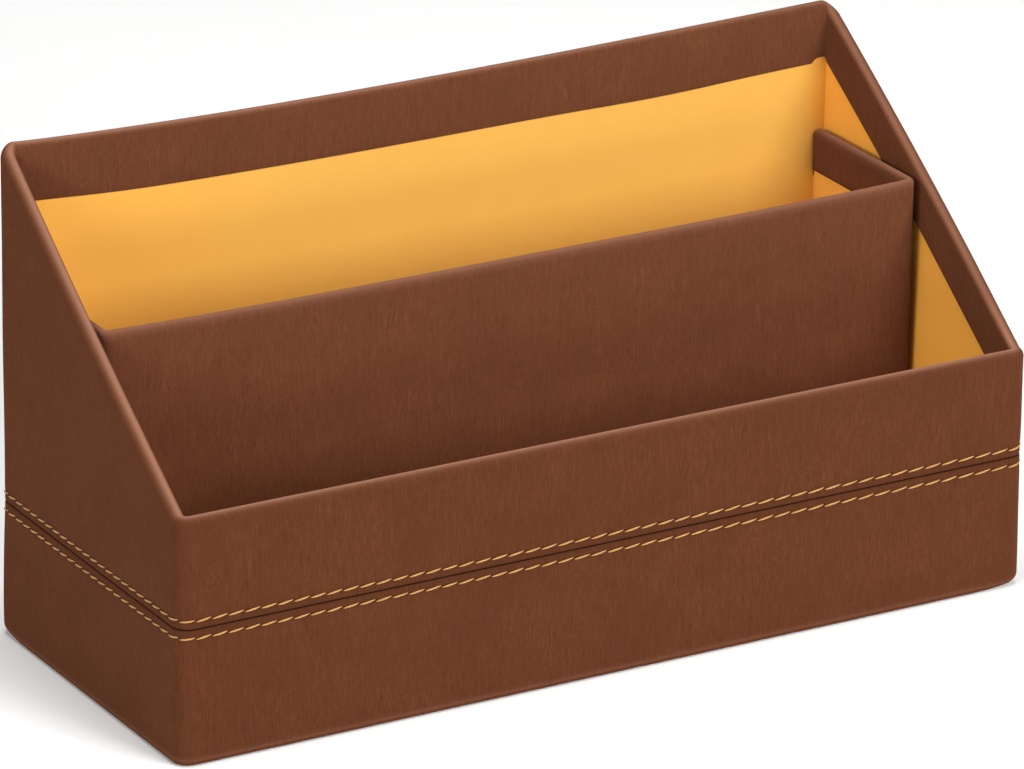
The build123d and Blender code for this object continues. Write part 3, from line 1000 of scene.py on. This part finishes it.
@dataclass
class Insert:
    """The divider and its two wings: one bent wall whose leatherette is turned in over its top."""

    slump: Slump
    half_width: float = 116.0
    front: float = -1.05
    back: float = 45.25
    wall: float = 2.7
    leather: float = 0.5
    roll: float = 1.2
    corner_radius: float = 3.0
    inner_radius: float = 0.3
    height: float = 94.3
    turn_in: float = 11.3
    wing_end_radius: float = 1.8
    tip_radius: float = 0.6
    floor_level: float = 3.5
    # How pale the rolled top is: rubbed wear and a painted highlight.
    rim_wear_and_highlight: float = 0.55

    def loop(self, inset: float) -> tuple[np.ndarray, np.ndarray]:
        """The closed line round the wall, seen from above, moved into the wall by a distance.

        It runs back from the rounded end of the left wing along its outer face, across the front of the divider, to
        the end of the right wing, and back along the inner faces. Straight runs join the arcs.

        Args:
            inset: How far inside the wall's faces the line runs.

        Returns:
            The line's points, and for each whether it lies on the inner faces.
        """
        half, tip = self.half_width, max(self.tip_radius, inset)
        outer_x, inner_x = half - inset, half - self.wall + inset
        outer_y, inner_y = self.front + inset, self.front + self.wall - inset
        corner = (half - self.corner_radius, self.front + self.corner_radius)
        inner_centre = (half - self.wall - self.inner_radius, self.front + self.wall + self.inner_radius)
        tip_y, tip_radius = self.back - tip, tip - inset
        outer_tip, inner_tip = half - tip, half - self.wall + tip
        line = lambda a, b, steps: np.linspace(a, b, steps + 2)[1:-1]
        outer_arc, inner_arc = self.corner_radius - inset, self.inner_radius + inset
        left_tip = arc((-outer_tip, tip_y), tip_radius, 90, 180, 6)
        right_tip = arc((outer_tip, tip_y), tip_radius, 0, 90, 6)
        outer = np.concatenate([
            left_tip,
            line((-outer_x, tip_y), (-outer_x, corner[1]), 16),
            arc((-corner[0], corner[1]), outer_arc, 180, 270, 8),
            line((-corner[0], outer_y), (corner[0], outer_y), 90),
            arc(corner, outer_arc, 270, 360, 8),
            line((outer_x, corner[1]), (outer_x, tip_y), 16),
            right_tip,
        ])
        inner = np.concatenate([
            arc((inner_tip, tip_y), tip_radius, 90, 180, 6),
            line((inner_x, tip_y), (inner_x, inner_centre[1]), 16),
            arc(inner_centre, inner_arc, 360, 270, 5),
            line((inner_centre[0], inner_y), (-inner_centre[0], inner_y), 90),
            arc((-inner_centre[0], inner_centre[1]), inner_arc, 270, 180, 5),
            line((-inner_x, inner_centre[1]), (-inner_x, tip_y), 16),
            arc((-inner_tip, tip_y), tip_radius, 0, 90, 6),
        ])
        inside = np.concatenate([np.zeros(len(outer), bool), np.ones(len(inner), bool)])
        return np.concatenate([outer, inner]), inside

    def top(self, place: np.ndarray, inset: float, roll: float) -> np.ndarray:
        """Height of the rolled top over a place: the top, less the roll's arc, less the arc of the wing's end."""
        rolled = roll - math.sqrt(max(roll**2 - max(roll - inset, 0.0) ** 2, 0.0))
        past = np.clip(place[:, 1] - (self.back - self.wing_end_radius), 0, self.wing_end_radius)
        fallen = self.wing_end_radius - np.sqrt(self.wing_end_radius**2 - past**2)
        return self.height - rolled - fallen

    def cover(self) -> bpy.types.Object:
        """Make the leatherette of the insert.

        Rows of the loop climb the faces, close over the top to the wall's middle, and come back under the leather.
        On the inner faces the rows stay above the turned-in edge.
        """
        outline, inside = self.loop(0.0)
        foot = np.where(inside, self.height - self.turn_in, self.floor_level)
        rows, heights, wear_and_highlights = [], [], []
        shoulder = self.top(outline, 0.0, self.roll)
        for share in np.concatenate([np.linspace(0, 0.93, 12), [0.955, 0.972, 0.984, 0.993, 1.0]]):
            rows.append(outline)
            heights.append(foot + (shoulder - foot) * share)
            # A faint painted highlight and wear under the shoulder.
            wear_and_highlights.append(np.exp(-(((shoulder - heights[-1]) / 0.8) ** 2)) * 0.15)
        middle = self.wall / 2
        for inset in self.roll * (1 - np.cos(np.linspace(0, math.pi / 2, 8)[1:])):
            place = self.loop(inset)[0]
            rows.append(place)
            heights.append(self.top(place, inset, self.roll))
            # Rubbed wear and painted highlight over the rolled top.
            wear_and_highlights.append(np.full(len(place), self.rim_wear_and_highlight * min(1.0, 0.25 + inset / self.roll)))
        place = self.loop(middle)[0]
        rows.append(place)
        heights.append(self.top(place, middle, self.roll))
        wear_and_highlights.append(np.full(len(place), self.rim_wear_and_highlight))
        for inset in (middle, 1.0, 0.7, self.leather):
            place = self.loop(inset)[0]
            rows.append(place)
            heights.append(self.top(place, inset, self.roll) - self.leather * (1.0 if inset > 0.9 else 1.6))
            wear_and_highlights.append(np.zeros(len(place)))
        rows.append(self.loop(self.leather)[0])
        heights.append(foot)
        wear_and_highlights.append(np.zeros(len(place)))
        plan = np.stack(rows, axis=1)
        height = np.stack(heights, axis=1)
        points = np.concatenate([plan, height[..., None]], axis=-1)
        hops = np.linalg.norm(np.diff(points, axis=1), axis=-1)
        length = np.concatenate([np.zeros((len(points), 1)), np.cumsum(hops, axis=1)], axis=1) + foot[:, None]
        around = np.broadcast_to(outline[:, None, :], plan.shape)
        rest = np.concatenate([around + 300.0, length[..., None]], axis=-1)
        wear_and_highlight = np.stack(wear_and_highlights, axis=1)
        # Painted shade along the turned-in edge inside.
        painted_shade = np.where(inside[:, None], 0.5 * np.exp(-(height - foot[:, None]) / 0.3), 0)
        # The whole insert takes the painted light inside the box.
        shell = Shell(points, rest, wear_and_highlight, np.where(wear_and_highlight > 0, painted_shade, 0), np.ones_like(height))
        return shell.piece("insert_cover_leather", True, self.slump, weld=True)


@dataclass
class Settled:
    """Copies of flat solids that take the set of their walls."""

    slump: Slump
    cut_x: float = 12.0
    cut_y: float = 8.0
    cut_z: float = 10.0

    def copy(self, node: str, back_gain: float = 0.0) -> bpy.types.Object:
        """Copy a solid's mesh, cut it into strips that can bend, and move its points with the walls.

        Args:
            node: The solid's name.
            back_gain: How far its rear end is drawn back first, in millimetres.

        Returns:
            The settled piece.
        """
        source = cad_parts[node]
        mesh = source.data.copy()
        mesh.transform(source.matrix_world)
        work = bmesh.new()
        work.from_mesh(mesh)
        bmesh.ops.remove_doubles(work, verts=work.verts, dist=1e-7)
        low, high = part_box(node)
        for axis, gap in enumerate((self.cut_x, self.cut_y, self.cut_z)):
            along = Vector([float(axis == n) for n in range(3)])
            for level in np.arange(math.ceil(low[axis] / (gap * MM)) * gap * MM, high[axis], gap * MM):
                parts = list(work.verts) + list(work.edges) + list(work.faces)
                bmesh.ops.bisect_plane(work, geom=parts, plane_co=along * float(level), plane_no=along, dist=1e-7)
        work.to_mesh(mesh)
        work.free()
        places = np.empty(len(mesh.vertices) * 3, dtype=np.float32)
        mesh.vertices.foreach_get("co", places)
        points = places.reshape(-1, 3).astype(float) / MM
        points[:, 1] += np.where(points[:, 1] > points[:, 1].max() - 0.1, back_gain, 0)
        moved = self.slump.moved(points) * MM
        mesh.vertices.foreach_set("co", moved.astype(np.float32).ravel())
        mesh.update()
        mesh.name = f"{node}_settled"
        return shown(f"{node}_settled", mesh, 20.0)


@dataclass(frozen=True)
class Studio:
    """The pale floor, the soft lights and the camera at the photograph's angle."""

    focal_pixels: float = 7549.4
    centre_pixels: tuple[float, float] = (504.59, 356.67)
    yaw: float = 30.205
    pitch: float = 21.062
    roll: float = -0.705
    shift: tuple[float, float, float] = (2.641, 62.545, 1889.493)
    sensor: float = 36.0

    def camera(self) -> None:
        """Place the camera.

        Its forward, right and down directions follow from the yaw and pitch, and are then turned by the roll. Its
        place is the shift turned back into the box's frame.
        """
        yaw, pitch, roll = (math.radians(angle) for angle in (self.yaw, self.pitch, self.roll))
        forward = Vector((math.sin(yaw) * math.cos(pitch), math.cos(yaw) * math.cos(pitch), -math.sin(pitch)))
        right = Vector((math.cos(yaw), -math.sin(yaw), 0))
        down = forward.cross(right)
        turned_right = math.cos(roll) * right + math.sin(roll) * down
        turned_down = math.cos(roll) * down - math.sin(roll) * right
        across, along, ahead = self.shift
        place = -(turned_right * across + turned_down * along + forward * ahead) * MM
        view = bpy.data.cameras.new("camera")
        view.sensor_fit = "HORIZONTAL"
        view.sensor_width = self.sensor
        view.lens = self.focal_pixels * self.sensor / IMAGE_WIDTH
        view.shift_x = (IMAGE_WIDTH / 2 - self.centre_pixels[0]) / IMAGE_WIDTH
        view.shift_y = (self.centre_pixels[1] - IMAGE_HEIGHT / 2) / IMAGE_WIDTH
        view.clip_start, view.clip_end = 0.1, 20.0
        camera = bpy.data.objects.new("camera", view)
        bpy.context.scene.collection.objects.link(camera)
        axes = Matrix((turned_right, -turned_down, -forward)).transposed()
        camera.matrix_world = Matrix.Translation(place) @ axes.to_4x4()
        bpy.context.scene.camera = camera

    def light(self, name: str, place: tuple, size: float, watts: float, colour: str) -> None:
        """Hang a square soft light that faces the box.

        Args:
            name: The light's name.
            place: Its place in metres.
            size: The length of its side in metres.
            watts: Its power.
            colour: Its colour.
        """
        lamp = bpy.data.lights.new(name, "AREA")
        lamp.shape = "SQUARE"
        lamp.size = size
        lamp.energy = watts
        lamp.color = linear(colour)[:3]
        holder = bpy.data.objects.new(name, lamp)
        holder.location = place
        aim = Vector((0, 0, 0.06)) - Vector(place)
        holder.rotation_euler = aim.to_track_quat("-Z", "Y").to_euler()
        bpy.context.scene.collection.objects.link(holder)

    def build(self) -> None:
        """Make the floor, lights, surroundings and camera."""
        self.camera()
        half = 4.0
        corners = np.array([[-half, -half, 0], [half, -half, 0], [half, half, 0], [-half, half, 0]])
        mesh = mesh_of("floor", corners, np.array([[0, 1, 2, 3]]))
        floor = bpy.data.objects.new("floor", mesh)
        bpy.context.scene.collection.objects.link(floor)
        material, tree, shader = new_material("studio_floor_paper")
        place = add_node(tree, "ShaderNodeTexCoord").outputs["Object"]
        fibres = noise(tree, scaled(tree, place, (0.8, 0.8, 0.8)), 3.0, 0.6)
        colour = tint(tree, fibres, linear("#FAFAF9"), linear("#FDFDFC"))
        tree.links.new(colour, shader.inputs["Base Color"])
        shader.inputs["Roughness"].default_value = 0.9
        mesh.materials.append(material)
        self.light("front right", (0.45, -1.15, 0.6), 0.7, 17.0, "#FFFFFF")
        self.light("front", (0.1, -1.9, 1.2), 1.0, 9.5, "#FFFFFF")
        self.light("left", (-1.9, -0.5, 0.8), 1.0, 24.5, "#FFFFFF")
        self.light("overhead", (0.0, 0.05, 2.0), 0.9, 22.0, "#FFFFFF")
        world = bpy.data.worlds.new("studio")
        world.use_nodes = True
        background = world.node_tree.nodes["Background"]
        background.inputs["Color"].default_value = linear("#FFFFFF")
        background.inputs["Strength"].default_value = 0.17
        bpy.context.scene.world = world
        bpy.context.scene.view_settings.view_transform = "Standard"


@dataclass
class LetterHolder:
    """The whole object: its covers, stitching, insert, linings and boards."""

    finishes: Finishes
    slump: Slump = field(default_factory=Slump)

    def build(self) -> None:
        """Make each new piece, replace the solids that it stands for, and dress what stays."""
        path = Path()
        stitching = Stitching(path)
        covers = Covers(path, stitching, self.slump)
        self.place(covers.upper(), Finish.LEATHERETTE, "upper_cover")
        self.place(covers.lower(), Finish.LEATHERETTE, "lower_cover")
        lower, upper = stitching.heights()
        self.place(stitching.row("lower_stitch_row", lower, self.slump), Finish.THREAD, "lower_stitches")
        self.place(stitching.row("upper_stitch_row", upper, self.slump), Finish.THREAD, "upper_stitches")
        self.place(Insert(self.slump).cover(), Finish.INSERT_LEATHERETTE, "insert_cover")
        settled = Settled(self.slump)
        leaning = {
            Finish.LINING_PAPER: ("back_lining", "front_lining", "left_lining", "right_lining", "divider_lining",
                                  "left_wing_lining", "right_wing_lining"),
            Finish.GREYBOARD: ("base_board", "back_board", "front_board", "left_side_board", "right_side_board", "divider_board",
                               "left_wing_board", "right_wing_board"),
            Finish.TAPE: ("seam_backing",),
            Finish.GLUE: ("wing_glue_pads",),
        }
        for finish, nodes in leaning.items():
            for node in nodes:
                self.place(settled.copy(node, 0.95 if node.endswith("wing_lining") else 0.0), finish, node)
        kept = {
            "floor_lining": Finish.LINING_PAPER,
            "base_sheet": Finish.BASE_PAPER,
        }
        for node, finish in kept.items():
            self.finishes.dress_node(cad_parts[node], finish)
            log.info("solid %s kept with %s", node, finish.value)

    def place(self, piece: bpy.types.Object, finish: Finish, node: str) -> None:
        """Dress a piece and let it stand for a solid."""
        self.finishes.dress(piece, finish)
        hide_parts(node)


def main() -> None:
    """Build the letter holder and its studio."""
    logging.basicConfig(level=logging.INFO, format="%(message)s")
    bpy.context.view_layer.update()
    LetterHolder(Finishes()).build()
    Studio().build()


if __name__ == "__main__":
    main()
